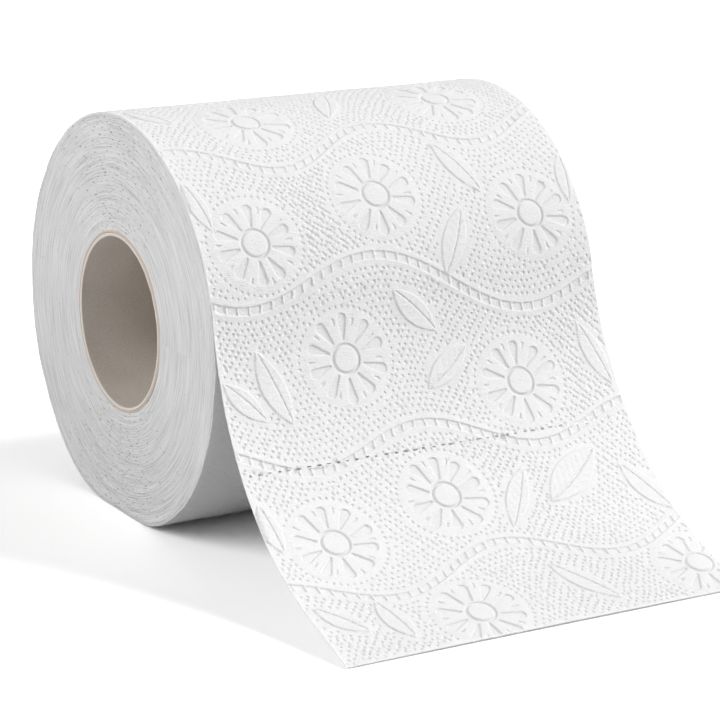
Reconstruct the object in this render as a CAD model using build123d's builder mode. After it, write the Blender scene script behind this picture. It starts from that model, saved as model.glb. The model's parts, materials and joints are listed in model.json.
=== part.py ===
from build123d import *
from math import cos, radians, sin
import os

# A toilet paper roll lying on its side, with the loose end of the web led down to the floor at the front.
# Sizes are in millimetres and angles in degrees. X runs along the core, -Y is the front, +Z is up.
# The origin is the middle of the core's bore.

# Core: a card tube, open at both ends
bore_radius = 20.0
core_wall = 1.3

# Wound web: the turns are one soft solid, pressed flat where the roll rests. The flat spot's rounded
# corners run into the round turns at the angle of reach, on each side of straight down.
roll_width = 100.0
outer_radius = 48.5
wound_thickness = 0.4
flat_spot_width = 16.0
flat_spot_reach = 34.0

# Ends of the roll: a spiral of grooves between the turns, with a flat land at the core and at the rim
groove_turns = 11
groove_depth = 0.7
end_land = 2.0

# Loose end of the web: it leaves the front of the roll, bends outwards and lies down to the floor
loose_thickness = 0.5
leaving_angle = 15.5
lying_angle = 18.4
lying_length = 17.0
loose_drift = 4.4

# Perforation: a row of slits across the loose end
perforation_from_end = 56.0
slit_length = 1.1
slit_width = 0.35
slit_pitch = 2.4

core_radius = bore_radius + core_wall

# The outermost turn is a spiral of two half turns, whose centres stand apart by half a layer.
# They meet on the line from the axis to the point where the web leaves the roll.
leaving_direction = Vector(0, -cos(radians(leaving_angle)), sin(radians(leaving_angle)))
upper_centre = leaving_direction * (wound_thickness / 4)
lower_centre = leaving_direction * (-wound_thickness / 4)
lower_radius = outer_radius - wound_thickness / 2

# The floor touches the flat spot, whose corners are as round as runs smoothly into the outermost turn
round_offset = flat_spot_width / 2 / sin(radians(flat_spot_reach))
flat_spot_round = lower_radius - round_offset
floor_level = lower_centre.Z - flat_spot_round - round_offset * cos(radians(flat_spot_reach))

# The grooves are a spiral of the same kind, with its two centres half a groove pitch apart
groove_pitch = (outer_radius - core_radius - 2 * end_land) / groove_turns
first_groove_radius = core_radius + end_land
inside_radius = core_radius - groove_pitch
outside_radius = outer_radius + groove_pitch

# The bend of the loose end is as wide as brings the straight run's lower edge to the floor
steepest = radians(90 - lying_angle)
leaving_point = upper_centre + leaving_direction * outer_radius
drop = leaving_point.Z - floor_level - lying_length * cos(steepest) - loose_thickness * sin(steepest)
bend_radius = drop / (sin(steepest) - sin(radians(leaving_angle)))
bend_centre = leaving_point + leaving_direction * bend_radius
loose_length = lying_length + bend_radius * (steepest - radians(leaving_angle))
cut_end_y = bend_centre.Y + bend_radius * cos(steepest) - lying_length * sin(steepest)

# The perforation lies in the bend, as far from the cut end of the web as the last part sheet is long
perforation_turn = steepest - (perforation_from_end - lying_length) / bend_radius
perforation_normal = Vector(0, -cos(perforation_turn), sin(perforation_turn))
perforation_point = bend_centre - perforation_normal * bend_radius
perforation_drift = loose_drift * (1 - perforation_from_end / loose_length)
perforation_middle = perforation_point - Vector(perforation_drift, 0, 0)
perforation_plane = Plane(perforation_middle, Vector(1, 0, 0), perforation_normal)
slit_count = int(roll_width / slit_pitch)

# Card core
with BuildPart() as core:
    with BuildSketch(Plane.YZ):
        Circle(core_radius)
        Circle(bore_radius, mode=Mode.SUBTRACT)
    extrude(amount=roll_width / 2, both=True)
core.part.label = "core"

# Loose end of the web: bent in section, trimmed in plan, then perforated
with BuildPart() as loose_end:
    with BuildSketch(Plane.YZ):
        with BuildLine():
            turned = 90 - lying_angle - leaving_angle
            bend = CenterArc((bend_centre.Y, bend_centre.Z), bend_radius, -leaving_angle, -turned)
            Line(bend @ 1, (bend @ 1) + (bend % 1) * lying_length)
            offset(amount=loose_thickness, side=Side.LEFT)
        make_face()
    extrude(amount=roll_width, both=True)

    # In plan it drifts to the left, in step with the length that is off the roll
    with BuildSketch(Plane.XY):
        half = roll_width / 2
        beyond_y = 2 * cut_end_y - perforation_point.Y
        beyond_drift = 2 * loose_drift - perforation_drift
        with BuildLine():
            Polyline(
                (half, 0),
                (half, leaving_point.Y),
                (half - perforation_drift, perforation_point.Y),
                (half - beyond_drift, beyond_y),
                (-half - beyond_drift, beyond_y),
                (-half - perforation_drift, perforation_point.Y),
                (-half, leaving_point.Y),
                (-half, 0),
                close=True,
            )
        make_face()
    extrude(amount=outer_radius, both=True, mode=Mode.INTERSECT)

    # Slits, cut square through the web
    with BuildSketch(perforation_plane):
        with GridLocations(slit_pitch, 0, slit_count, 1):
            Rectangle(slit_length, slit_width)
    extrude(amount=2 * loose_thickness, both=True, mode=Mode.SUBTRACT)

# Tissue web: the wound turns, the loose end and its perforation
section_normal = leaving_direction.cross(Vector(1, 0, 0))
upper_half = (groove_pitch / -4, first_groove_radius, Vector(-1, 0, 0))
lower_half = (groove_pitch / 4, first_groove_radius - groove_pitch / 2, Vector(1, 0, 0))

with BuildPart() as paper:
    # Each half of the turns is half a revolution of the grooved section about its own centre
    for centre_shift, groove_start, turning in (upper_half, lower_half):
        grooves = [(inside_radius, roll_width / 2), (groove_start, roll_width / 2)]
        for turn in range(groove_turns):
            crest = groove_start + turn * groove_pitch
            grooves.append((crest + groove_pitch / 2, roll_width / 2 - groove_depth))
            grooves.append((crest + groove_pitch, roll_width / 2))
        grooves.append((outside_radius, roll_width / 2))
        turn_centre = leaving_direction * centre_shift
        with BuildSketch(Plane(origin=turn_centre, x_dir=leaving_direction, z_dir=section_normal)):
            with BuildLine():
                end_line = Polyline(*grooves)
                mirror(end_line, about=Plane.XZ)
                Line((inside_radius, -roll_width / 2), (inside_radius, roll_width / 2))
                Line((outside_radius, -roll_width / 2), (outside_radius, roll_width / 2))
            make_face()
        revolve(axis=Axis(turn_centre, turning), revolution_arc=180)

    # The outermost turn trims the rim, and the floor the flat spot, which is then rounded
    with BuildSketch(Plane.YZ) as rim:
        with BuildLine():
            start_angle = 180 - leaving_angle
            over = CenterArc((upper_centre.Y, upper_centre.Z), outer_radius, start_angle, -180)
            under = CenterArc((lower_centre.Y, lower_centre.Z), lower_radius, start_angle, 180)
            Line(over @ 0, under @ 0)
        make_face()
        with Locations((0, floor_level - outer_radius)):
            Rectangle(4 * outer_radius, 2 * outer_radius, mode=Mode.SUBTRACT)
        fillet(rim.vertices().sort_by(Axis.Y)[0:2], flat_spot_round)
    extrude(amount=roll_width / 2, both=True, mode=Mode.INTERSECT)

    # Seat of the core
    with BuildSketch(Plane.YZ):
        Circle(core_radius)
    extrude(amount=roll_width / 2, both=True, mode=Mode.SUBTRACT)

    # Loose end
    add(loose_end.part)
paper.part.label = "paper"

os.makedirs("parts", exist_ok=True)
export_step(core.part, "parts/core.step")
export_step(paper.part, "parts/paper.step")
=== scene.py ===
import json
from math import cos, pi, radians, sin, sqrt

import bpy
import numpy as np
from mathutils import Matrix, Vector
from mathutils.geometry import delaunay_2d_cdt


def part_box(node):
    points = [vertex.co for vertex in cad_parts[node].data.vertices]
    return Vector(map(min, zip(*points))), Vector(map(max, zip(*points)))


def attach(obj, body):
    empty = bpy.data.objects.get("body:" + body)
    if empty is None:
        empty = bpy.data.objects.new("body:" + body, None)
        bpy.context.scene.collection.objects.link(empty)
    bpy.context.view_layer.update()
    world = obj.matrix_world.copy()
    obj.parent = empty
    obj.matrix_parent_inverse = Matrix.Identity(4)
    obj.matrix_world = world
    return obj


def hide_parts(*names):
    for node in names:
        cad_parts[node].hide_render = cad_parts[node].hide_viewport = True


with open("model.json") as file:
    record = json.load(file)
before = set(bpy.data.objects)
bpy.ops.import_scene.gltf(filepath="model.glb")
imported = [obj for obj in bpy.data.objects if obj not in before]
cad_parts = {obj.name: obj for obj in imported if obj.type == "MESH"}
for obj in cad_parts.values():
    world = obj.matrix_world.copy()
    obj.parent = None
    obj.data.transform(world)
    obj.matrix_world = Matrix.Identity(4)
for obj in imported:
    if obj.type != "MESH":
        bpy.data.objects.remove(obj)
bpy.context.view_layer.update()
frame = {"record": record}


# Card core: a tube of grey recycled board, wound from two spiral plies that are glued together.
# The knife-cut ends show the two plies as a thin line, and a seam runs round the bore where the
# inner ply's edges meet.
mm = 0.001
record = frame["record"]
core_bore = next(mount for mount in record["mounts"] if mount["name"] == "core_bore")
core_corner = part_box("core")[1]
roll_half = core_corner.x
core_radius = core_corner.z
bore_radius = core_bore["dims"]["r_mm"] * mm
inner_ply_share = 0.6
ply_line = bore_radius + inner_ply_share * (core_radius - bore_radius)
ply_gap = 0.12 * mm
cut_round = 0.12 * mm
cut_fray = 0.05 * mm
frays_around = 90
core_around = 200
core_along = 150
seam_pitch = 74 * mm
seam_width = 0.9 * mm
seam_depth = 0.10 * mm
bore_waver = 0.10 * mm
waver_length = 14 * mm
wavers_around = 12


def linear(colour):
    """Linear colour with alpha from an sRGB hex value."""
    channels = [int(colour[place : place + 2], 16) / 255 for place in (1, 3, 5)]
    return [c / 12.92 if c <= 0.04045 else ((c + 0.055) / 1.055) ** 2.4 for c in channels] + [1.0]


def node(material, kind, settings=None, links=None):
    """Adds a node, with settings for its properties or sockets, and links from other nodes' outputs."""
    made = material.node_tree.nodes.new(kind)
    for name, value in (settings or {}).items():
        if isinstance(name, str) and hasattr(made, name):
            setattr(made, name, value)
        else:
            made.inputs[name].default_value = value
    for name, (source, output) in (links or {}).items():
        material.node_tree.links.new(source.outputs[output], made.inputs[name])
    return made


def new_material(name):
    """An empty node material and its output node."""
    material = bpy.data.materials.new(name)
    material.use_nodes = True
    material.node_tree.nodes.clear()
    return material, node(material, "ShaderNodeOutputMaterial")


def join(material, source, output, target, socket):
    """Links an output to a socket."""
    material.node_tree.links.new(source.outputs[output], target.inputs[socket])


def grid_faces(rows, columns, close_rows=False, close_columns=False):
    """Quads of a grid of points, facing along column step x row step."""
    row, column = np.meshgrid(
        np.arange(rows if close_rows else rows - 1),
        np.arange(columns if close_columns else columns - 1),
        indexing="ij",
    )
    next_row = (row + 1) % rows
    next_column = (column + 1) % columns
    corners = [
        row * columns + column,
        row * columns + next_column,
        next_row * columns + next_column,
        next_row * columns + column,
    ]
    return np.stack(corners, axis=-1).reshape(-1, 4)


def add_piece(name, points, faces, material, sharp_angle=40, normals=()):
    """A smooth-shaded mesh object, sharp where two faces meet at more than the angle.

    Normals can be given for the corners of the first faces, and the others keep their own."""
    mesh = bpy.data.meshes.new(name)
    mesh.from_pydata(np.asarray(points).reshape(-1, 3).tolist(), [], faces)
    mesh.shade_smooth()
    mesh.set_sharp_from_angle(angle=radians(sharp_angle))
    if len(normals):
        rest = np.zeros((len(mesh.loops) - len(normals), 3))
        mesh.normals_split_custom_set(np.concatenate([normals, rest]).tolist())
    mesh.materials.append(material)
    piece = bpy.data.objects.new(name, mesh)
    bpy.context.scene.collection.objects.link(piece)
    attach(piece, "root")
    return piece


def smooth_noise(first, second, first_size, second_size, seed, second_cells=64):
    """Seeded value noise from -1 to 1 over two coordinates, with cells of the given sizes.

    It repeats after first_cells of the first coordinate and after second_cells of the second."""
    first_cells = 64
    table = np.random.default_rng(seed).uniform(-1, 1, (first_cells, second_cells))
    u = np.asarray(first) / first_size
    v = np.asarray(second) / second_size
    u_cell = np.floor(u).astype(int)
    v_cell = np.floor(v).astype(int)
    fu = u - u_cell
    fv = v - v_cell
    fu = fu * fu * (3 - 2 * fu)
    fv = fv * fv * (3 - 2 * fv)
    u_next = (u_cell + 1) % first_cells
    v_next = (v_cell + 1) % second_cells
    u_cell = u_cell % first_cells
    v_cell = v_cell % second_cells
    near = table[u_cell, v_cell] * (1 - fv) + table[u_cell, v_next] * fv
    far = table[u_next, v_cell] * (1 - fv) + table[u_next, v_next] * fv
    return near * (1 - fu) + far * fu


around = np.linspace(0, 2 * pi, core_around, endpoint=False)
wall_x = np.linspace(-roll_half + cut_round, roll_half - cut_round, core_along)
bore_x, bore_turn = np.meshgrid(wall_x, around, indexing="ij")
seam_place = (bore_x - seam_pitch * bore_turn / (2 * pi) + seam_pitch / 2) % seam_pitch
seam = np.exp(-(((seam_place - seam_pitch / 2) / (seam_width / 2)) ** 2))
waver = smooth_noise(
    bore_x, bore_turn, waver_length, 2 * pi / wavers_around, seed=5, second_cells=wavers_around
)
bore_rows = bore_radius + seam_depth * seam + bore_waver * waver

# The end's section from the bore's corner over the two plies to the outer corner: radius and set-back
end_section = [
    (bore_radius + cut_round, 0.0),
    (ply_line - ply_gap, 0.0),
    (ply_line, 2 * ply_gap),
    (ply_line + ply_gap, 0.0),
    (core_radius - cut_round, 0.0),
    (core_radius, cut_round),
]
core_points = []
for row, x in enumerate(wall_x):
    core_points.append((np.full(core_around, x), bore_rows[row]))
for end, section in ((1, end_section), (-1, end_section[::-1])):
    for radius, set_back in section:
        end_ring = np.full(core_around, radius)
        frayed = cut_fray * smooth_noise(
            end_ring, around, mm, 2 * pi / frays_around, seed=11, second_cells=frays_around
        )
        core_points.append((end * (roll_half - set_back + frayed - cut_fray), end_ring))
core_points = [np.stack([x, r * np.cos(around), r * np.sin(around)], -1) for x, r in core_points]
core_faces = grid_faces(len(core_points), core_around, True, True)[:, ::-1].tolist()

# Recycled grey board: pulp of mixed waste paper, pressed and left uncoated. It is matt and warm grey, with
# faint clouds and a fine even grain, drawn coarser than its single fibres so that it shows. The knife-cut
# ends are paler inside the line of glue between the plies, and beige outside it. Pattern sizes are in mm.
board_dark = "#d3cbc3"
board_light = "#ddd6ce"
board_grain = "#e6e3e0"
board_cut = "#dcd5ce"
board_glue = "#cdbdb0"
board_grain_length = 0.2778
board_grain_width = 0.2273
board_cloud_size = 14.29
cut_tint_start = 0.40 * mm
cut_tint_full = 0.25 * mm
glue_half = 0.15 * mm
card, card_out = new_material("recycled_grey_board")
card_place = node(card, "ShaderNodeTexCoord")
card_mm = node(
    card, "ShaderNodeVectorMath", {"operation": "SCALE", "Scale": 1 / mm}, {0: (card_place, "Object")}
)
fibre_stretch = node(
    card,
    "ShaderNodeMapping",
    {"Scale": (1 / board_grain_length, 1 / board_grain_width, 1 / board_grain_width)},
    {"Vector": (card_mm, 0)},
)
card_fibre = node(
    card,
    "ShaderNodeTexNoise",
    {"Scale": 1.0, "Detail": 5.0, "Roughness": 0.7},
    {"Vector": (fibre_stretch, 0)},
)
card_cloud = node(
    card, "ShaderNodeTexNoise", {"Scale": 1 / board_cloud_size, "Detail": 3.0}, {"Vector": (card_mm, 0)}
)
card_tone = node(card, "ShaderNodeValToRGB", links={0: (card_cloud, "Fac")})
card_tone.color_ramp.elements[0].position = 0.35
card_tone.color_ramp.elements[0].color = linear(board_dark)
card_tone.color_ramp.elements[1].position = 0.65
card_tone.color_ramp.elements[1].color = linear(board_light)
fibre_tone = node(card, "ShaderNodeValToRGB", links={0: (card_fibre, "Fac")})
fibre_tone.color_ramp.elements[0].position = 0.36
fibre_tone.color_ramp.elements[0].color = linear(board_grain)
fibre_tone.color_ramp.elements[1].position = 0.62
fibre_tone.color_ramp.elements[1].color = linear("#ffffff")
board_colour = node(
    card,
    "ShaderNodeMix",
    {"data_type": "RGBA", "blend_type": "MULTIPLY", 0: 1.0},
    {6: (card_tone, "Color"), 7: (fibre_tone, "Color")},
)
card_axes = node(card, "ShaderNodeSeparateXYZ", links={0: (card_place, "Object")})
from_middle = node(card, "ShaderNodeMath", {"operation": "ABSOLUTE"}, {0: (card_axes, "X")})
at_cut = node(
    card,
    "ShaderNodeMapRange",
    {"From Min": roll_half - cut_tint_start, "From Max": roll_half - cut_tint_full},
    {0: (from_middle, 0)},
)
card_section = node(
    card, "ShaderNodeVectorMath", {"operation": "MULTIPLY", 1: (0, 1, 1)}, {0: (card_place, "Object")}
)
card_radius = node(card, "ShaderNodeVectorMath", {"operation": "LENGTH"}, {0: (card_section, 0)})
off_ply = node(card, "ShaderNodeMath", {"operation": "SUBTRACT", 1: ply_line}, {0: (card_radius, "Value")})
glue_line = node(
    card, "ShaderNodeMapRange", {"From Min": -glue_half, "From Max": glue_half}, {0: (off_ply, 0)}
)
cut_tone = node(
    card,
    "ShaderNodeMix",
    {"data_type": "RGBA", 6: linear(board_cut), 7: linear(board_glue)},
    {0: (glue_line, 0)},
)
card_colour = node(
    card, "ShaderNodeMix", {"data_type": "RGBA"}, {0: (at_cut, 0), 6: (board_colour, 2), 7: (cut_tone, 2)}
)
card_bump = node(
    card, "ShaderNodeBump", {"Strength": 0.15, "Distance": 0.06 * mm}, {"Height": (card_fibre, "Fac")}
)
card_shader = node(
    card,
    "ShaderNodeBsdfPrincipled",
    {"Roughness": 0.9, "Specular IOR Level": 0.25},
    {"Base Color": (card_colour, 2), "Normal": (card_bump, 0)},
)
join(card, card_shader, "BSDF", card_out, "Surface")

core_piece = add_piece("card_core", core_points, core_faces, card)
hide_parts("core")


# Wound turns: the inner turns of the tissue web, a soft body of some hundred layers. Its ends were cut
# through the whole log with a saw, so they show the layers' edges as fine uneven rings. The weight of the
# roll presses it flat where it rests on the floor.
leaving_angle = radians(15.5)
layer = 0.4 * mm
flat_half = 8 * mm
flat_reach = radians(34)
paper_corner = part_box("paper")
floor_z = paper_corner[0].z
outer_radius = paper_corner[1].z - layer / 4 * sin(leaving_angle)
upper_centre = layer / 4 * np.array([-cos(leaving_angle), sin(leaving_angle)])
lower_radius = outer_radius - layer / 2
flat_round = lower_radius - flat_half / sin(flat_reach)
under_sheet = 0.72 * mm
turns_around = 300
turns_across = 150
ring_relief = 0.34 * mm
rim_fade = 1.5 * mm
rim_least = 0.15

# Unevenness of the rings: spacing, number of cells round the roll, and weight beside the mean of the relief
ring_seed = 20
ring_mean = 0.62
ring_kinds = [(0.50 * mm, 40, 0.20), (1.0 * mm, 26, 0.12), (2.7 * mm, 14, 0.10)]


def rim_radius(angle):
    """Distance from the axis to the roll's outside, by the angle from +Y towards +Z."""
    along_y = np.cos(angle)
    along_z = np.sin(angle)
    across = along_y * upper_centre[0] + along_z * upper_centre[1]
    upper = np.sin(angle + leaving_angle) >= 0
    turn = np.where(upper, outer_radius + across, lower_radius - across)
    flat = floor_z / np.minimum(along_z, -cos(flat_reach))
    corner_y = np.where(along_y < 0, -flat_half, flat_half) - upper_centre[0]
    corner_z = floor_z + flat_round
    towards = along_y * corner_y + along_z * corner_z
    corner = towards + np.sqrt(np.maximum(towards**2 - corner_y**2 - corner_z**2 + flat_round**2, 0))
    pressed = np.where(np.abs(flat * along_y + upper_centre[0]) < flat_half, flat, corner)
    return np.where(np.abs(np.arctan2(along_y, -along_z)) < flat_reach, pressed, turn)


turn_angle = np.linspace(0, 2 * pi, turns_around, endpoint=False)
turn_share, angle_grid = np.meshgrid(np.linspace(0, 1, turns_across), turn_angle, indexing="ij")
depth_in = turn_share * (outer_radius - core_radius)
ring_radius = core_radius + turn_share * (rim_radius(turn_angle) - under_sheet - core_radius)


def layer_edges(seed):
    """How far the layers' edges stand back from the cut plane, as uneven rings that fade in and out."""
    relief = ring_mean
    for number, (spacing, cells, weight) in enumerate(ring_kinds):
        rings = smooth_noise(depth_in, angle_grid, spacing, 2 * pi / cells, seed + number, cells)
        relief = relief + weight * rings
    at_rim = np.clip((outer_radius - core_radius - depth_in) / rim_fade, rim_least, 1)
    return ring_relief * at_rim * relief


# Rows of points run from the core to the rim on the left end, and back to the core on the right one
turn_rows = []
for end in (-1, 1):
    ring_x = end * (roll_half - layer_edges(ring_seed + end))
    rings = np.stack([ring_x, ring_radius * np.cos(turn_angle), ring_radius * np.sin(turn_angle)], -1)
    turn_rows.append(rings[::-end])
turn_faces = grid_faces(2 * turns_across, turns_around, True, True).tolist()

# Cut edges of soft tissue: hundreds of thin fluffy layers seen on edge. They look light grey, because light
# is lost between the layers, with fine rings, and small dark flecks of painted shade above and below the
# core, where the weight of the roll lets two layers stand apart and the gap lies in shade. Pattern sizes are
# in mm, out from the axis and round it.
edge_white = "#e2e2e2"
edge_grey = "#c2c2c2"
# Painted shade for the dark gaps between layers that stand apart
gap_shade_grey = "#746f6c"
ring_spacing = 0.2632
ring_length = 16.67
fleck_width = 0.2941
fleck_length = 1.818
cut_edges, cut_out = new_material("cut_tissue_edges")
cut_place = node(cut_edges, "ShaderNodeTexCoord")
cut_axes = node(cut_edges, "ShaderNodeSeparateXYZ", links={0: (cut_place, "Object")})
cut_section = node(
    cut_edges, "ShaderNodeVectorMath", {"operation": "MULTIPLY", 1: (0, 1, 1)}, {0: (cut_place, "Object")}
)
from_axis = node(cut_edges, "ShaderNodeVectorMath", {"operation": "LENGTH"}, {0: (cut_section, 0)})
round_axis = node(
    cut_edges, "ShaderNodeMath", {"operation": "ARCTAN2"}, {0: (cut_axes, "Z"), 1: (cut_axes, "Y")}
)
ring_mm = node(cut_edges, "ShaderNodeMath", {"operation": "MULTIPLY", 1: 1 / mm}, {0: (from_axis, "Value")})
arc_mm = node(cut_edges, "ShaderNodeMath", {"operation": "MULTIPLY"}, {0: (round_axis, 0), 1: (ring_mm, 0)})
ring_place = node(cut_edges, "ShaderNodeCombineXYZ", links={"X": (ring_mm, 0), "Y": (arc_mm, 0)})
ring_stretch = node(
    cut_edges,
    "ShaderNodeMapping",
    {"Scale": (1 / ring_spacing, 1 / ring_length, 1.0)},
    {"Vector": (ring_place, 0)},
)
ring_lines = node(
    cut_edges,
    "ShaderNodeTexNoise",
    {"noise_dimensions": "2D", "Scale": 1.0, "Detail": 3.0, "Roughness": 0.65},
    {"Vector": (ring_stretch, 0)},
)
ring_tone = node(cut_edges, "ShaderNodeValToRGB", links={0: (ring_lines, "Fac")})
ring_tone.color_ramp.elements[0].position = 0.32
ring_tone.color_ramp.elements[0].color = linear(edge_grey)
ring_tone.color_ramp.elements[1].position = 0.60
ring_tone.color_ramp.elements[1].color = linear(edge_white)
fleck_stretch = node(
    cut_edges,
    "ShaderNodeMapping",
    {"Scale": (1 / fleck_width, 1 / fleck_length, 1.0)},
    {"Vector": (ring_place, 0)},
)
flecks = node(
    cut_edges,
    "ShaderNodeTexNoise",
    {"noise_dimensions": "2D", "Scale": 1.0, "Detail": 1.0, "Roughness": 0.4},
    {"Vector": (fleck_stretch, 0)},
)
height_share = node(
    cut_edges, "ShaderNodeMath", {"operation": "DIVIDE"}, {0: (cut_axes, "Z"), 1: (from_axis, "Value")}
)
upright_share = node(cut_edges, "ShaderNodeMath", {"operation": "ABSOLUTE"}, {0: (height_share, 0)})
fleck_start = node(
    cut_edges,
    "ShaderNodeMapRange",
    {"From Min": 0.55, "From Max": 0.98, "To Min": 0.79, "To Max": 0.675},
    {0: (upright_share, 0)},
)
fleck_over = node(
    cut_edges, "ShaderNodeMath", {"operation": "SUBTRACT"}, {0: (flecks, "Fac"), 1: (fleck_start, 0)}
)
# Where the painted shade of the gaps lies, most of it above and below the core
gap_shade_mask = node(
    cut_edges,
    "ShaderNodeMapRange",
    {"From Min": 0.0, "From Max": 0.09, "To Min": 0.0, "To Max": 0.9},
    {0: (fleck_over, 0)},
)
# Ring tone, with the painted gap shade laid over it
cut_colour = node(
    cut_edges,
    "ShaderNodeMix",
    {"data_type": "RGBA", 7: linear(gap_shade_grey)},
    {0: (gap_shade_mask, 0), 6: (ring_tone, "Color")},
)
cut_bump = node(
    cut_edges, "ShaderNodeBump", {"Strength": 0.45, "Distance": 0.12 * mm}, {"Height": (ring_lines, "Fac")}
)
cut_shader = node(
    cut_edges,
    "ShaderNodeBsdfPrincipled",
    {"Roughness": 0.95, "Specular IOR Level": 0.1},
    {"Base Color": (cut_colour, 2), "Normal": (cut_bump, 0)},
)
join(cut_edges, cut_shader, "BSDF", cut_out, "Surface")

turns_piece = add_piece("wound_turns", turn_rows, turn_faces, cut_edges)
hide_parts("paper")


# Last part sheet: the end of the web, torn off the sheet that was used before it. The web is creped tissue,
# pressed between embossing rolls, perforated and then wound. Its loose end leaves the front of the roll,
# bends outwards and lies down to the floor, drifting a little to the left.
lying_angle = radians(18.4)
lying_length = 17 * mm
loose_thickness = 0.5 * mm
loose_drift = 4.4 * mm
loose_spread = 0.014
steepest = pi / 2 - lying_angle
leaving_point = upper_centre + outer_radius * np.array([-cos(leaving_angle), sin(leaving_angle)])
drop = leaving_point[1] - floor_z - lying_length * cos(steepest) - loose_thickness * sin(steepest)
bend_radius = drop / (sin(steepest) - sin(leaving_angle))
bend_centre = leaving_point + bend_radius * np.array([-cos(leaving_angle), sin(leaving_angle)])
bend_end = bend_centre + bend_radius * np.array([cos(steepest), -sin(steepest)])
cut_end = bend_end - lying_length * np.array([sin(steepest), cos(steepest)])
loose_length = lying_length + bend_radius * (steepest - leaving_angle)
over_length = pi * outer_radius
under_length = pi * lower_radius
tucked_length = 12 * mm


def web_line(along):
    """Place (y, z) and outward normal of the web's outside, by the distance from its cut end."""
    # Straight run from the cut end
    run = np.clip(along, None, lying_length)
    place = cut_end + run[:, None] * np.array([sin(steepest), cos(steepest)])
    normal = np.broadcast_to(np.array([-cos(steepest), sin(steepest)]), place.shape)

    # Bend up to the roll
    turned = steepest - (along - lying_length) / bend_radius
    facing = np.stack([-np.cos(turned), np.sin(turned)], -1)
    in_bend = (along >= lying_length)[:, None]
    place = np.where(in_bend, bend_centre - bend_radius * facing, place)
    normal = np.where(in_bend, facing, normal)

    # Half turn over the roll, to its back
    wound = leaving_angle + (along - loose_length) / outer_radius
    facing = np.stack([-np.cos(wound), np.sin(wound)], -1)
    on_top = (along >= loose_length)[:, None]
    place = np.where(on_top, upper_centre + outer_radius * facing, place)
    normal = np.where(on_top, facing, normal)

    # Half turn under the roll, with its flat spot
    small_turn = 0.001
    angle = -leaving_angle - (along - loose_length - over_length) / lower_radius
    facing = np.stack([np.cos(angle), np.sin(angle)], -1)
    sideways = np.stack([-np.sin(angle), np.cos(angle)], -1)
    swelling = rim_radius(angle + small_turn) - rim_radius(angle - small_turn)
    swelling = swelling / (2 * small_turn) / rim_radius(angle)
    leaning = facing - swelling[:, None] * sideways
    leaning = leaning / np.linalg.norm(leaning, axis=1, keepdims=True)
    below = (along >= loose_length + over_length)[:, None]
    place = np.where(below, rim_radius(angle)[:, None] * facing, place)
    normal = np.where(below, leaning, normal)

    # Short stretch tucked below the outermost turn
    wound = leaving_angle + (along - loose_length - over_length - under_length) / outer_radius
    facing = np.stack([-np.cos(wound), np.sin(wound)], -1)
    tucked = (along >= loose_length + over_length + under_length)[:, None]
    place = np.where(tucked, upper_centre + (outer_radius - layer) * facing, place)
    normal = np.where(tucked, facing, normal)
    return place, normal


# The embossing is drawn flat, in millimetres across the web from its middle and along it from the cut end.
# Wavy ribbons cross the web: mean place, slope, half height of the wave, place of a crest, wavelength.
ribbon_repeat = 141.0
ribbon_set = [
    (23.8, 0.02, 5.0, 2.0, 57.0),
    (57.7, -0.03, 4.2, -3.5, 57.0),
    (94.3, -0.10, 6.2, -7.0, 72.0),
    (131.0, 0.05, 5.2, 3.5, 52.0),
]
ribbon_half = 0.92
ribbon_depth = 0.28
ribbon_lip = 0.10
lip_reach = 1.4
lip_wall = 1.2
rung_pitch = 2.9
rung_half = 0.20
rung_share = 0.8

# Daisies: middle across and along, in order up the web from its cut end
last_daisies = [(-13, 8.5), (45, 10.5)]
daisy_set = [
    (-34.5, 36.5),
    (-4, 43.5),
    (-18.5, 79),
    (24.5, 68),
    (-36.5, 107),
    (-3, 115.5),
    (35.5, 106.5),
    (-24, 143),
    (28.5, 146),
]
daisy_reach = 10.8
daisy_swell = 0.10
swell_past = 0.4
swell_wall = 1.6
disc_radius = 2.9
disc_rise = 0.10
moat_width = 0.66
moat_depth = 0.32

# Petals, and the small marks between them, are tapered bars: foot, tip, and the half width at each
petals = 10
petal_bar = (4.5, 8.85, 0.26, 1.16)
petal_depth = 0.35
mark_bar = (8.1, 9.2, 0.18, 0.30)
mark_depth = 0.20
daisy_turn = radians(16)
petal_stray = 3
petal_stretch = (0.94, 1.05)

# Leaves: the two tips, and the half width
last_leaves = [
    ((-48, 19.5), (-39.5, 9), 2.6),
    ((-34, 18), (-31, 4.5), 2.8),
    ((10, 19.5), (20.5, 4), 2.7),
]
leaf_set = [
    ((17.5, 47.5), (8, 32), 2.7),
    ((37.5, 49.5), (20.5, 37), 4.2),
    ((42, 44), (49.5, 29), 2.9),
    ((-48.5, 49), (-47, 36), 2.4),
    ((-40.5, 83.5), (-34.5, 66), 3.0),
    ((-49.5, 77.5), (-40.5, 67.5), 2.4),
    ((-4.5, 93), (5.5, 82.5), 2.9),
    ((12.5, 78.5), (0.5, 69.5), 2.9),
    ((43, 80), (48.5, 64), 2.6),
    ((17, 128), (24.5, 113), 2.7),
    ((17.5, 110), (9.8, 94.8), 2.9),
    ((-49, 124), (-46, 111), 2.2),
    ((49, 121), (47, 108), 2.2),
    ((3, 155), (-3, 141), 2.8),
    ((-48, 157), (-41, 145), 2.6),
]
leaf_rise = 0.30
leaf_wall = 0.62
rib_bow = 0.22
rib_depth = 0.18
rib_half = 0.40
vein_pitch = 2.2
vein_slant = 0.9
vein_depth = 0.09
vein_half = 0.30
vein_clear = 0.30
vein_fade = 0.40

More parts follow.
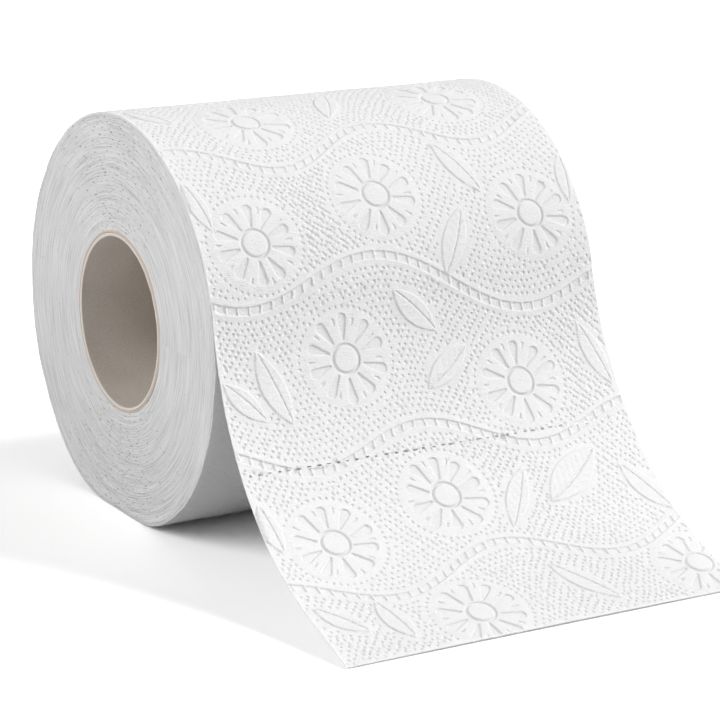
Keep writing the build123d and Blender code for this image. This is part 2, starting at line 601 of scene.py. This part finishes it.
# Ground of pressed dots, in uneven rows between the motifs, and the room that it keeps from them
dot_pitch = 1.52
dot_row = 1.32
dot_half = 0.62
dot_sizes = (0.75, 1.2)
dot_depth = 0.22
dot_wall_share = 0.85
dot_stray_across = 0.25
dot_stray_along = 0.20
rows_to_ribbon = 1.2
rows_to_edge = 0.5
ring_to_daisy = 1.0
dots_to_daisy = 2.0
dots_to_leaf = 0.9
dots_to_ribbon = 1.0
dots_to_edge = 0.6
dots_to_end = 0.7

# Sloping walls of the ribbons, petals and discs
wall_width = 0.56
wall_lines = (-wall_width / 2, 0.0, wall_width / 2)

web_mm = (loose_length + over_length + under_length + tucked_length) / mm
web_half = roll_half / mm
repeats = [ribbon_repeat * turn for turn in range(int(web_mm / ribbon_repeat) + 1)]
ribbons = [(ribbon_set[-1][0] - ribbon_repeat, *ribbon_set[-1][1:])]
ribbons += [(mean + shift, *shape) for shift in repeats for mean, *shape in ribbon_set]
daisies = last_daisies + [(x, s + shift) for shift in repeats for x, s in daisy_set]
leaves = last_leaves + [
    ((x0, s0 + shift), (x1, s1 + shift), half)
    for shift in repeats
    for (x0, s0), (x1, s1), half in leaf_set
]


def ribbon_line(ribbon, x):
    """Place along the web of a ribbon's middle, and its slant."""
    mean, slope, height, crest, wavelength = ribbon
    phase = 2 * pi * (x - crest) / wavelength
    return mean + slope * x + height * np.cos(phase), slope - height * 2 * pi / wavelength * np.sin(phase)


def ribbon_run(ribbon):
    """Places across the web at small steps, and the length of the ribbon from the first of them to each."""
    past_edge = 2
    places = 1041
    x = np.linspace(-web_half - past_edge, web_half + past_edge, places)
    steps = np.hypot(np.diff(x), np.diff(ribbon_line(ribbon, x)[0]))
    return x, np.concatenate([[0], np.cumsum(steps)])


def ramp(distance, width):
    """0 outside, 1 inside, over the width of a wall."""
    t = np.clip(distance / width, 0, 1)
    return t * t * (3 - 2 * t)


def capsule(u, v, foot, tip, foot_half, tip_half):
    """Signed distance to a tapered bar along u, from a round foot to a round tip."""
    u = u - foot
    v = np.abs(v)
    length = tip - foot
    lean = (foot_half - tip_half) / length
    side = sqrt(1 - lean * lean)
    along = u * side - v * lean
    flank = v * side + u * lean - foot_half
    ends = np.where(along < 0, np.hypot(u, v) - foot_half, np.hypot(u - length, v) - tip_half)
    return np.where((along >= 0) & (along <= side * length), flank, ends)


def petal_frames(number):
    """Turn and stretch of each petal of a daisy and of each mark between them, a little uneven."""
    chance = np.random.default_rng(100 + number)
    for petal in range(2 * petals):
        turn = daisy_turn + pi / petals * petal + radians(chance.uniform(-petal_stray, petal_stray))
        bar, depth = (mark_bar, mark_depth) if petal % 2 else (petal_bar, petal_depth)
        yield turn, chance.uniform(*petal_stretch), bar, depth


def leaf_frame(leaf, x, s):
    """Coordinates along and across a leaf from its middle, its half length, and its half width there."""
    (x0, s0), (x1, s1), half = leaf
    length = np.hypot(x1 - x0, s1 - s0) / 2
    ux, us = (x1 - x0) / (2 * length), (s1 - s0) / (2 * length)
    u = (x - (x0 + x1) / 2) * ux + (s - (s0 + s1) / 2) * us
    v = -(x - (x0 + x1) / 2) * us + (s - (s0 + s1) / 2) * ux
    return u, v, length, half * (1 - (u / length) ** 2)


def dot_places():
    """Middle and half width of each dot.

    The dots lie in rows between the ribbons and in a ring round each daisy, and keep off the motifs."""
    chance = np.random.default_rng(3)
    places = []
    for lower, upper in zip(ribbons, ribbons[1:]):
        clear = ribbon_half + rows_to_ribbon
        rows = int((upper[0] - lower[0] - 2 * clear) / dot_row)
        for row in range(rows):
            first_x = -web_half + dots_to_edge + (row % 2) * dot_pitch / 2
            x = np.arange(first_x, web_half - rows_to_edge, dot_pitch)
            x = x + chance.uniform(-dot_stray_across, dot_stray_across, len(x))
            low = ribbon_line(lower, x)[0] + clear
            high = ribbon_line(upper, x)[0] - clear
            stray = chance.uniform(-dot_stray_along, dot_stray_along, len(x))
            s = low + (high - low) * (row + 0.5) / rows + stray
            places.append(np.stack([x, s], -1))
    places = np.concatenate(places)
    free = np.ones(len(places), bool)
    rings = []
    for x, s in daisies:
        free &= np.hypot(places[:, 0] - x, places[:, 1] - s) > daisy_reach + dots_to_daisy
        out = daisy_reach + ring_to_daisy
        count = int(2 * pi * out / dot_pitch)
        turn = np.arange(count) * 2 * pi / count + x
        rings.append(out * np.stack([np.cos(turn), np.sin(turn)], -1) + (x, s))
    places = np.concatenate([places[free], *rings])
    x, s = places.T
    free = (np.abs(x) < web_half - dots_to_edge) & (s > dots_to_end) & (s < web_mm)
    for leaf in leaves:
        u, v, length, wide = leaf_frame(leaf, x, s)
        free &= (wide - np.abs(v) < -dots_to_leaf) | (np.abs(u) > length + dots_to_leaf)
    for ribbon in ribbons:
        middle, slant = ribbon_line(ribbon, x)
        free &= np.abs(s - middle) / np.hypot(1, slant) > ribbon_half + dots_to_ribbon
    places = places[free]
    return np.column_stack([places, dot_half * chance.uniform(*dot_sizes, len(places))])


dots = dot_places()


def emboss(x, s):
    """Height of the embossing in millimetres at points across and along the web."""
    order = np.argsort(s)
    x = x[order]
    s = s[order]
    height = np.zeros(len(x))

    def near(middle_x, middle_s, reach):
        band = np.arange(*np.searchsorted(s, (middle_s - reach, middle_s + reach)))
        return band[np.abs(x[band] - middle_x) < reach]

    # A ribbon is a sunk channel between low lips, crossed by raised rungs
    for ribbon in ribbons:
        middle, slant = ribbon_line(ribbon, x)
        off = np.abs(s - middle) / np.hypot(1, slant)
        run = np.interp(x, *ribbon_run(ribbon))
        rung = np.abs((run + rung_pitch / 2) % rung_pitch - rung_pitch / 2)
        rung = ramp(rung_half + wall_width / 2 - rung, wall_width)
        sunk = ramp(ribbon_half + wall_width / 2 - off, wall_width)
        height -= ribbon_depth * sunk * (1 - rung_share * rung)
        height += ribbon_lip * ramp(ribbon_half + lip_reach - off, lip_wall)

    # A daisy has ten pressed petals with small marks between them, round a raised disc in a moat
    for number, (middle_x, middle_s) in enumerate(daisies):
        at = near(middle_x, middle_s, daisy_reach + 2)
        dx = x[at] - middle_x
        ds = s[at] - middle_s
        out = np.hypot(dx, ds)
        relief = daisy_swell * ramp(daisy_reach + swell_past - out, swell_wall)
        relief += disc_rise * ramp(disc_radius + wall_width / 2 - out, wall_width)
        from_moat = np.abs(out - disc_radius - moat_width / 2)
        relief -= moat_depth * ramp(moat_width / 2 + wall_width / 2 - from_moat, wall_width)
        for turn, stretch, bar, depth in petal_frames(number):
            u = (dx * cos(turn) + ds * sin(turn)) / stretch
            v = ds * cos(turn) - dx * sin(turn)
            relief -= depth * ramp(wall_width / 2 - capsule(u, v, *bar), wall_width)
        height[at] += relief

    # A leaf is a raised blade with a sunk rib and faint side veins
    for leaf in leaves:
        (x0, s0), (x1, s1), half = leaf
        at = near((x0 + x1) / 2, (s0 + s1) / 2, np.hypot(x1 - x0, s1 - s0) / 2 + 1)
        u, v, length, wide = leaf_frame(leaf, x[at], s[at])
        inside = wide - np.abs(v)
        blade = ramp(inside + leaf_wall / 2, leaf_wall)
        rib = np.abs(v - rib_bow * wide)
        vein = np.abs((u + vein_slant * rib + vein_pitch / 2) % vein_pitch - vein_pitch / 2)
        relief = leaf_rise * blade
        relief -= rib_depth * ramp(rib_half - rib, rib_half) * blade
        relief -= vein_depth * ramp(vein_half - vein, vein_half) * ramp(inside - vein_clear, vein_fade)
        height[at] += relief

    # A dot is a small round hollow
    for dot_x, dot_s, half in dots:
        at = near(dot_x, dot_s, half)
        out = np.hypot(x[at] - dot_x, s[at] - dot_s) / half
        height[at] -= dot_depth * ramp(1 - out, dot_wall_share)

    in_place = np.empty(len(x))
    in_place[order] = height
    return in_place


# Strength of the embossing by the place along the web. It is crisp on the loose end and the front, softer
# from the top round to the floor, and rubbed out from there up the front, behind the loose end. It also
# fades towards the cut end and the sides.
strength_places = [0, 50, 60, 125, 145, 170, 300, 335, 375, 392]
strengths = [1.35, 1.35, 1.3, 1.3, 1.2, 0.8, 0.9, 0.4, 0.25, 0]
end_least = 0.25
end_fade = 1.6
side_least = 0.3
side_fade = 0.9

# Unevenness of the limp web, as height, size along the web, size across it and seed: creases where the
# embossing is rubbed out, waves of the loose end, whose middle is lifted off the floor, and frayed sides
crease_kinds = [(0.08, 1.5, 3.4, 51), (0.16, 5.0, 7.0, 52)]
crease_places = [320, 345, 392, web_mm]
wave_kinds = [(0.35, 34.0, 38.0, 8), (0.10, 13.0, 16.0, 9)]
wave_start = 30.0
wave_fade_share = 0.65
end_lift = 0.25
lift_length = 14.0
fray_kinds = [(0.04, 1.1, 200.0, 31), (0.10, 7.0, 200.0, 32)]
fray_reach = 1.5
fray_back = 0.05


def unevenness(kinds, x, s):
    """Sum of smooth noises at points across and along the web."""
    return sum(height * smooth_noise(s, x, along, across, seed) for height, along, across, seed in kinds)


def web_height(x, s, gain=1):
    """Height of the web's outside over its plain line, in millimetres, with the embossing times the gain."""
    strength = np.interp(s, strength_places, strengths)
    strength *= end_least + (1 - end_least) * ramp(s, end_fade)
    strength *= side_least + (1 - side_least) * ramp(web_half - np.abs(x), side_fade)
    creases = unevenness(crease_kinds, x, s) * np.interp(s, crease_places, [0, 1, 1, 0])
    loose = ramp(1 - s * mm / loose_length, wave_fade_share)
    waves = unevenness(wave_kinds, x, s) * loose * ramp(s, wave_start)
    lift = end_lift * (1 - (x / web_half) ** 2) * ramp(1 - s / lift_length, 1.0)
    return gain * emboss(x, s) * strength + creases + waves + lift


def spaced(start, stop, step):
    """Evenly spaced values from start to stop, about a step apart."""
    return np.linspace(start, stop, max(int(round((stop - start) / step)), 1) + 1)


def bar_outline(foot, tip, foot_half, tip_half, step):
    """Points round a tapered bar along the first axis."""
    least_half = 0.05
    blunt = max(foot_half, least_half)
    foot = foot + (blunt - foot_half) * (tip - foot) / (tip_half - foot_half)
    lean = np.arccos((blunt - tip_half) / (tip - foot))
    tip_turn = spaced(-lean, lean, step / tip_half)
    tip_arc = np.stack([tip + tip_half * np.cos(tip_turn), tip_half * np.sin(tip_turn)], -1)
    foot_turn = spaced(lean, 2 * pi - lean, max(step / blunt, 1.0))
    foot_arc = np.stack([foot + blunt * np.cos(foot_turn), blunt * np.sin(foot_turn)], -1)
    share = spaced(0, 1, step / (tip - foot))[1:-1, None]
    left_flank = tip_arc[-1] + share * (foot_arc[0] - tip_arc[-1])
    right_flank = tip_arc[0] + share * (foot_arc[-1] - tip_arc[0])
    return np.concatenate([tip_arc, foot_arc, left_flank, right_flank])


# Points of the mesh: steps along the walls, shares of a half width at which rows of points lie, how far a
# motif reaches from its middle, how close two points may be, and the lattice on the bare ground
point_step = 0.5
petal_step = 0.42
rung_rows = (-0.6, -0.2, 0.2, 0.6)
crest_rows = np.array([-1, -0.5, 0, 0.5, 1])
vein_points_clear = 0.4
rim_inset = 1.2
dot_inner_share = 0.52
ribbon_reach = 15.0
motif_reach = 12.0
closest_points = 0.11
lattice_step = 1.2
lattice_row = 0.87 * lattice_step
lattice_clear = 0.4


def circle_points(middle_x, middle_s, radius, count):
    """Points evenly round a circle on the flat web."""
    turn = np.arange(count) * 2 * pi / count
    return np.stack([middle_x + radius * np.cos(turn), middle_s + radius * np.sin(turn)], -1)


def ribbon_points(ribbon):
    """Points along the walls of a ribbon and on its rungs."""
    table_x, table_run = ribbon_run(ribbon)
    wall_run = spaced(0, table_run[-1], point_step)
    rows = [(side * (ribbon_half + wall), wall_run) for side in (-1, 1) for wall in wall_lines]
    rungs = np.arange(0, table_run[-1], rung_pitch)[:, None]
    rungs = rungs + crest_rows * (rung_half + wall_width / 2)
    rows += [(share * ribbon_half, rungs.ravel()) for share in rung_rows]
    for off, run in rows:
        x = np.interp(run, table_run, table_x)
        middle, slant = ribbon_line(ribbon, x)
        stand = off / np.hypot(1, slant)
        yield np.stack([x - slant * stand, middle + stand], -1)


def daisy_points(number, middle_x, middle_s):
    """Points round a daisy's disc, moat and rim, and on the walls of its petals and marks."""
    for wall in wall_lines:
        yield circle_points(middle_x, middle_s, disc_radius + wall, 36)
        yield circle_points(middle_x, middle_s, disc_radius + moat_width + wall, 44)
    yield circle_points(middle_x, middle_s, daisy_reach - rim_inset, 60)
    for turn, stretch, (foot, tip, foot_half, tip_half), depth in petal_frames(number):
        for wall in wall_lines:
            outline = bar_outline(foot, tip, foot_half + wall, tip_half + wall, petal_step)
            u = outline[:, 0] * stretch
            x = middle_x + u * cos(turn) - outline[:, 1] * sin(turn)
            s = middle_s + u * sin(turn) + outline[:, 1] * cos(turn)
            yield np.stack([x, s], -1)


def leaf_points(leaf):
    """Points along the outline of a leaf, its rib and its veins."""
    (x0, s0), (x1, s1), half = leaf
    length = np.hypot(x1 - x0, s1 - s0) / 2
    rows = []
    for wall in (-leaf_wall / 2, 0.0, leaf_wall / 2):
        reach = length * sqrt(1 + wall / half)
        u = reach * np.sin(spaced(-pi / 2, pi / 2, pi / 2 * point_step / length))
        edge = np.maximum(half * (1 - (u / length) ** 2) + wall, 0)
        rows += [(u, edge), (u, -edge)]
    u = spaced(-length, length, point_step)
    wide = half * (1 - (u / length) ** 2)
    rows += [(u, rib_bow * wide + share * rib_half) for share in crest_rows]
    off = spaced(rib_half, half, point_step)
    veins = int(length / vein_pitch)
    for vein in np.arange(-veins, veins + 1) * vein_pitch:
        for beside in (-vein_half, 0, vein_half):
            for side in (-1, 1):
                u = vein + beside - vein_slant * off
                wide = half * (1 - (u / length) ** 2)
                v = rib_bow * wide + side * off
                on_blade = wide - np.abs(v) > vein_points_clear
                rows.append((u[on_blade], v[on_blade]))
    along_x, along_s = (x1 - x0) / (2 * length), (s1 - s0) / (2 * length)
    for u, v in rows:
        x = (x0 + x1) / 2 + u * along_x - v * along_s
        s = (s0 + s1) / 2 + u * along_s + v * along_x
        yield np.stack([x, s], -1)


def emboss_points(start, stop):
    """Points across and along the web that follow the embossing's walls, so that the mesh has them crisp."""
    places = []
    for ribbon in ribbons:
        if start - ribbon_reach < ribbon[0] < stop + ribbon_reach:
            places += ribbon_points(ribbon)
    for number, (middle_x, middle_s) in enumerate(daisies):
        if start - motif_reach < middle_s < stop + motif_reach:
            places += daisy_points(number, middle_x, middle_s)
    for leaf in leaves:
        if start - motif_reach < (leaf[0][1] + leaf[1][1]) / 2 < stop + motif_reach:
            places += leaf_points(leaf)
    for x, s, half in dots[(dots[:, 1] > start) & (dots[:, 1] < stop)]:
        places.append(np.array([[x, s]]))
        places.append(circle_points(x, s, dot_inner_share * half, 5))
        places.append(circle_points(x, s, half, 6))
    places = np.concatenate(places)
    cells = np.floor(places / closest_points).astype(int)
    places = places[np.unique(cells, axis=0, return_index=True)[1]]

    # The bare ground gets a plain lattice, where nothing else is near
    x, s = np.meshgrid(spaced(-web_half, web_half, lattice_step), spaced(start, stop, lattice_row))
    x = x + lattice_step / 2 * (np.arange(len(s)) % 2)[:, None]
    lattice = np.stack([x.ravel(), s.ravel()], -1)
    margin = 20
    corner = np.array([-web_half - margin, start - margin])
    sides = np.array([2 * web_half, stop - start]) + 2 * margin
    taken = np.zeros((sides / lattice_clear).astype(int), bool)
    held = ((places - corner) / lattice_clear).astype(int)
    for step_x in (-1, 0, 1):
        for step_s in (-1, 0, 1):
            taken[held[:, 0] + step_x, held[:, 1] + step_s] = True
    wanted = ((lattice - corner) / lattice_clear).astype(int)
    return np.concatenate([places, lattice[~taken[wanted[:, 0], wanted[:, 1]]]])


# Sheets of the web, in millimetres along it, and the slits of the perforations between them, which vary in
# place, length and width
perforation_from_end = 56.0
sheet_length = 125.0
slit_pitch = 2.4
slit_length = 1.0
slit_half = 0.24
slit_stray = 0.10
slit_shift = 0.3
slit_lengths = (0.6, 1.2)
slit_widths = (0.5, 1.1)
slit_clear = 0.15

# Thickness of a sheet in sight, and of its hidden part that fills the room down to the turns below
sheet_thickness = 0.18
hidden_thickness = 0.66
floor_clear = 0.02
edge_step = 0.5
edge_clear = 0.25
torn_clear = 0.42
sheet_sharp_angle = 60

# The embossing is shaded as if its walls were this many times as steep as they are in the mesh. Walls that
# are so deep would hide their lit sides from a low eye.
shade_gain = 1.8


def slits(place):
    """Middle, half length, half width and stray along the web of each slit of the perforation at a place."""
    chance = np.random.default_rng(int(place))
    count = int(2 * web_half / slit_pitch)
    for slit in range(count):
        middle = (slit - (count - 1) / 2) * slit_pitch + chance.uniform(-slit_shift, slit_shift)
        half = slit_length / 2 * chance.uniform(*slit_lengths)
        width = slit_half * chance.uniform(*slit_widths)
        yield middle, half, width, chance.uniform(-slit_stray, slit_stray)


def edge_points(place, torn, side):
    """Places across and along the web of a sheet's edge, and how far each stands off it in a slit."""
    x = spaced(-web_half, web_half, edge_step)
    offset = np.zeros(len(x))
    for middle, half, width, stray in slits(place) if torn else ():
        clear = np.abs(x - middle) > half + slit_clear
        x = np.concatenate([x[clear], middle + half * np.array([-1, -0.95, 0, 0.95, 1])])
        offset = np.concatenate([offset[clear], (stray + side * width) * np.array([0, 1, 1, 1, 0])])
    order = np.argsort(x)
    return np.stack([x, np.full(len(x), place)], -1)[order], offset[order]


def web_sheet(name, start, stop, torn_start, torn_stop):
    """A sheet of the web from start to stop along it, as a closed thin mesh with its embossing."""
    # Off the roll the web's inside shows as well, up to this place
    seen = np.clip(loose_length / mm + 1, start, stop)
    sides = np.unique(np.concatenate([spaced(start, seen, edge_step), spaced(seen, stop, edge_step)]))
    first, first_offset = edge_points(start, torn_start, 1)
    last, last_offset = edge_points(stop, torn_stop, -1)
    left = np.stack([np.full(len(sides) - 2, -web_half), sides[1:-1]], -1)
    right = left * (-1, 1)
    between = edge_points(seen, False, 0)[0][1:-1] if start < seen < stop else np.empty((0, 2))
    inner = emboss_points(start, stop)
    far_enough = np.abs(inner[:, 0]) < web_half - edge_clear
    far_enough &= inner[:, 1] > start + (torn_clear if torn_start else edge_clear)
    far_enough &= inner[:, 1] < stop - (torn_clear if torn_stop else edge_clear)
    far_enough &= np.abs(inner[:, 1] - seen) > edge_clear
    groups = [first, last, left, right, between, inner[far_enough]]
    flat = np.concatenate(groups)
    ends = np.cumsum([len(group) for group in groups])
    first, last, left, right, between, inner = np.split(np.arange(len(flat)), ends[:-1])
    left = np.concatenate([first[:1], left, last[:1]])
    right = np.concatenate([first[-1:], right, last[-1:]])
    turn_in = np.searchsorted(sides, seen)
    between = np.concatenate([left[turn_in : turn_in + 1], between, right[turn_in : turn_in + 1]])

    # The outside is triangulated between these points, flat, with its borders kept
    borders = [first, last, left, right] + ([between] if start < seen < stop else [])
    kept_edges = np.concatenate([np.stack([line[:-1], line[1:]], -1) for line in borders])
    merge_distance = 1e-5
    corners = [Vector(point) for point in flat]
    _, _, triangles, *_ = delaunay_2d_cdt(corners, kept_edges.tolist(), [], 0, merge_distance)
    outside = np.array(triangles)
    below = outside[flat[outside, 1].mean(1) < seen]

    # Then every point gets its place in space and the direction that the paper faces there
    x, s = flat.T
    s = s.copy()
    s[first] += first_offset
    s[last] += last_offset
    height = web_height(x, s)
    small = 0.02
    slope_x = (web_height(x + small, s, shade_gain) - web_height(x - small, s, shade_gain)) / (2 * small)
    slope_s = (web_height(x, s + small, shade_gain) - web_height(x, s - small, shade_gain)) / (2 * small)
    place, normal = web_line(s * mm)
    along = np.stack([normal[:, 1], -normal[:, 0]], -1)
    facing = np.column_stack([-slope_x, normal - slope_s[:, None] * along])
    facing = facing / np.linalg.norm(facing, axis=1, keepdims=True)
    off_roll = np.clip(1 - s * mm / loose_length, 0, 1)
    frayed = unevenness(fray_kinds, x, s) - fray_back
    at_edge = ramp(np.abs(x) - web_half + fray_reach, fray_reach) * np.sign(x)
    across = x * (1 + loose_spread * np.sin(pi * off_roll)) + frayed * at_edge
    across = across * mm - loose_drift * off_roll
    shells = []
    in_sight = flat[:, 1] <= seen
    in_sight[last] = True
    stands = np.where(in_sight, height - sheet_thickness, -hidden_thickness)
    for stand, clear in ((height, np.where(off_roll > 0, sheet_thickness, 0.0)), (stands, 0.0)):
        shell = place + stand[:, None] * mm * normal
        shell[:, 1] = np.maximum(shell[:, 1], floor_z + (floor_clear + clear) * mm)
        shells.append(np.column_stack([across, shell]))

    # The inside follows the outside where it shows. Where the roll hides it, it is one face wide.
    has_inside = in_sight.copy()
    has_inside[left] = True
    has_inside[right] = True
    inside = len(flat) - 1 + np.cumsum(has_inside)
    faces = outside.tolist() + inside[below[:, ::-1]].tolist()
    normals = np.concatenate([facing[outside].reshape(-1, 3), -facing[below[:, ::-1]].reshape(-1, 3)])
    hidden = [inside[[left[row], right[row]]].tolist() for row in range(turn_in, len(sides))]
    if hidden[1:]:
        hidden[0] = inside[between if start < seen else first].tolist()
        hidden[-1] = inside[last].tolist()
    faces += [far + near[::-1] for near, far in zip(hidden, hidden[1:])]
    for line, order in ((first, 1), (last, -1), (left, -1), (right, 1)):
        for a, b in zip(line, line[1:]):
            wall = [inside[a], inside[b], b, a]
            faces.append([int(corner) for corner in wall[::order]])
    points = np.concatenate([shells[0], shells[1][has_inside]])
    return add_piece(name, points, faces, tissue, sheet_sharp_angle, normals)


# Soft tissue paper: bleached long-fibre pulp, creped off a drying cylinder. It is matt white, with a fine
# cross grain of crepe ridges and a felt of fibres, both drawn a little coarser than life so that they show.
# It is thin enough to let some light through, which opens the shadows behind the loose end. Pattern sizes
# are in mm.
tissue_white = "#f6f6f6"
tissue_shade = "#f0f0f1"
light_through = 0.26
felt_size = 0.4167
crepe_length = 1.111
crepe_width = 0.2778
grain_depth = 0.24 * mm
tissue, tissue_out = new_material("creped_tissue")
tissue_place = node(tissue, "ShaderNodeTexCoord")
tissue_mm = node(
    tissue, "ShaderNodeVectorMath", {"operation": "SCALE", "Scale": 1 / mm}, {0: (tissue_place, "Object")}
)
fibres = node(
    tissue,
    "ShaderNodeTexNoise",
    {"Scale": 1 / felt_size, "Detail": 4.0, "Roughness": 0.7},
    {"Vector": (tissue_mm, 0)},
)
crepe_stretch = node(
    tissue,
    "ShaderNodeMapping",
    {"Scale": (1 / crepe_length, 1 / crepe_width, 1 / crepe_width)},
    {"Vector": (tissue_mm, 0)},
)
crepe = node(
    tissue,
    "ShaderNodeTexNoise",
    {"Scale": 1.0, "Detail": 3.0, "Roughness": 0.6},
    {"Vector": (crepe_stretch, 0)},
)
tissue_grain = node(
    tissue, "ShaderNodeMath", {"operation": "ADD"}, {0: (fibres, "Fac"), 1: (crepe, "Fac")}
)
tissue_tone = node(tissue, "ShaderNodeValToRGB", links={0: (fibres, "Fac")})
tissue_tone.color_ramp.elements[0].position = 0.3
tissue_tone.color_ramp.elements[0].color = linear(tissue_shade)
tissue_tone.color_ramp.elements[1].position = 0.7
tissue_tone.color_ramp.elements[1].color = linear(tissue_white)
tissue_bump = node(
    tissue, "ShaderNodeBump", {"Strength": 1.0, "Distance": grain_depth}, {"Height": (tissue_grain, 0)}
)
tissue_shader = node(
    tissue,
    "ShaderNodeBsdfPrincipled",
    {"Roughness": 0.95, "Specular IOR Level": 0.1},
    {"Base Color": (tissue_tone, "Color"), "Normal": (tissue_bump, 0)},
)
tissue_through = node(
    tissue, "ShaderNodeBsdfTranslucent", links={"Color": (tissue_tone, "Color"), "Normal": (tissue_bump, 0)}
)
tissue_mix = node(
    tissue, "ShaderNodeMixShader", {0: light_through}, {1: (tissue_shader, "BSDF"), 2: (tissue_through, 0)}
)
join(tissue, tissue_mix, 0, tissue_out, "Surface")

last_sheet = web_sheet("last_part_sheet", 0.0, perforation_from_end, False, True)
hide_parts("paper")


# First full sheet: the next sheet up the web, held to the last one by the paper between the slits. It runs
# from the bend of the loose end over the front of the roll to its top.
second_perforation = perforation_from_end + sheet_length
first_sheet = web_sheet("first_full_sheet", perforation_from_end, second_perforation, True, True)
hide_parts("paper")


# Second full sheet: wound on from the top of the roll down its back, with a perforation at each end.
third_perforation = second_perforation + sheet_length
second_sheet = web_sheet("second_full_sheet", second_perforation, third_perforation, True, True)
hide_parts("paper")


# Tucked sheet: it passes under the roll, where the weight presses it flat on the floor, comes up the front
# behind the loose end, and is tucked below the outermost turn.
tucked_sheet = web_sheet("tucked_sheet", third_perforation, web_mm, True, False)
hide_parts("paper")


# Floor: a plain white studio surface, matt, which takes the roll's soft shadow. To the eye it is as bright
# as the lit white sweep of a studio, and what it throws on the roll is the light of plain white paint.
floor_half = 6.0
floor_white = "#dadada"
floor_lit = "#dcdcdc"


def background_ray(material):
    """A node that is 1 for rays that show the background: from the camera, off metal or through glass."""
    ray = node(material, "ShaderNodeLightPath")
    shown = node(
        material,
        "ShaderNodeMath",
        {"operation": "MAXIMUM"},
        {0: (ray, "Is Camera Ray"), 1: (ray, "Is Glossy Ray")},
    )
    return node(
        material,
        "ShaderNodeMath",
        {"operation": "MAXIMUM"},
        {0: (shown, 0), 1: (ray, "Is Transmission Ray")},
    )


floor_mesh = bpy.data.meshes.new("floor")
floor_corners = [(x * floor_half, y * floor_half, floor_z) for x, y in ((-1, -1), (1, -1), (1, 1), (-1, 1))]
floor_mesh.from_pydata(floor_corners, [], [(0, 1, 2, 3)])
floor = bpy.data.objects.new("floor", floor_mesh)
bpy.context.scene.collection.objects.link(floor)
studio, studio_out = new_material("white_studio_floor")
floor_paint = node(studio, "ShaderNodeBsdfDiffuse", {"Color": linear(floor_white)})
floor_more = node(studio, "ShaderNodeBsdfDiffuse", {"Color": linear(floor_lit)})
floor_sum = node(studio, "ShaderNodeAddShader", links={0: (floor_paint, 0), 1: (floor_more, 0)})
floor_mix = node(
    studio,
    "ShaderNodeMixShader",
    links={0: (background_ray(studio), 0), 1: (floor_paint, 0), 2: (floor_sum, 0)},
)
join(studio, floor_mix, 0, studio_out, "Surface")
floor_mesh.materials.append(studio)


# Studio light: a broad soft lamp on the right, low enough to rake over the embossing, and a weaker one on
# the left, a little behind the roll, that opens its end and bore without filling the embossing. The
# surroundings are pale, and the white background is only for the camera.
sky_level = 0.3
backdrop_white = "#fefefe"

# Each lamp's name, level, direction towards it, and spread in degrees
lamps = [
    ("broad_lamp", 3.5, (0.69, -0.38, 0.61), 30),
    ("weak_lamp", 1.55, (-0.79, 0.10, 0.61), 40),
]
for lamp_name, lamp_level, lamp_towards, lamp_spread in lamps:
    lamp = bpy.data.lights.new(lamp_name, "SUN")
    lamp.energy = lamp_level
    lamp.angle = radians(lamp_spread)
    lamp_object = bpy.data.objects.new(lamp_name, lamp)
    lamp_object.rotation_euler = Vector(lamp_towards).to_track_quat("Z", "Y").to_euler()
    bpy.context.scene.collection.objects.link(lamp_object)

world = bpy.data.worlds.new("pale_surroundings")
world.use_nodes = True
world.node_tree.nodes.clear()
world_out = node(world, "ShaderNodeOutputWorld")
sky = node(world, "ShaderNodeBackground", {"Color": (1, 1, 1, 1), "Strength": sky_level})
backdrop = node(world, "ShaderNodeBackground", {"Color": linear(backdrop_white), "Strength": 1.0})
world_mix = node(
    world,
    "ShaderNodeMixShader",
    links={0: (background_ray(world), 0), 1: (sky, 0), 2: (backdrop, 0)},
)
join(world, world_mix, 0, world_out, "Surface")
bpy.context.scene.world = world
bpy.context.scene.view_settings.view_transform = "Standard"


# Camera: at the photograph's viewing angle, in front of the roll's left end and a little above it.
photo_width = 720
focal_pixels = 2896
yaw = radians(-30.66)
pitch = radians(15.40)
tilt = radians(0.71)
camera_place = Vector((-331.69, -584.97, 169.79)) * mm
backward = Vector((sin(yaw) * cos(pitch), -cos(yaw) * cos(pitch), sin(pitch)))
level = Vector((cos(yaw), sin(yaw), 0))
upright = backward.cross(level)
camera_right = level * cos(tilt) + upright * sin(tilt)
camera_up = upright * cos(tilt) - level * sin(tilt)
camera = bpy.data.cameras.new("camera")
camera.sensor_width = 36
camera.lens = camera.sensor_width * focal_pixels / photo_width
camera.clip_start = 0.05
camera.clip_end = 20
camera_object = bpy.data.objects.new("camera", camera)
axes = Matrix((camera_right, camera_up, backward)).transposed()
camera_object.matrix_world = Matrix.Translation(camera_place) @ axes.to_4x4()
bpy.context.scene.collection.objects.link(camera_object)
bpy.context.scene.camera = camera_object
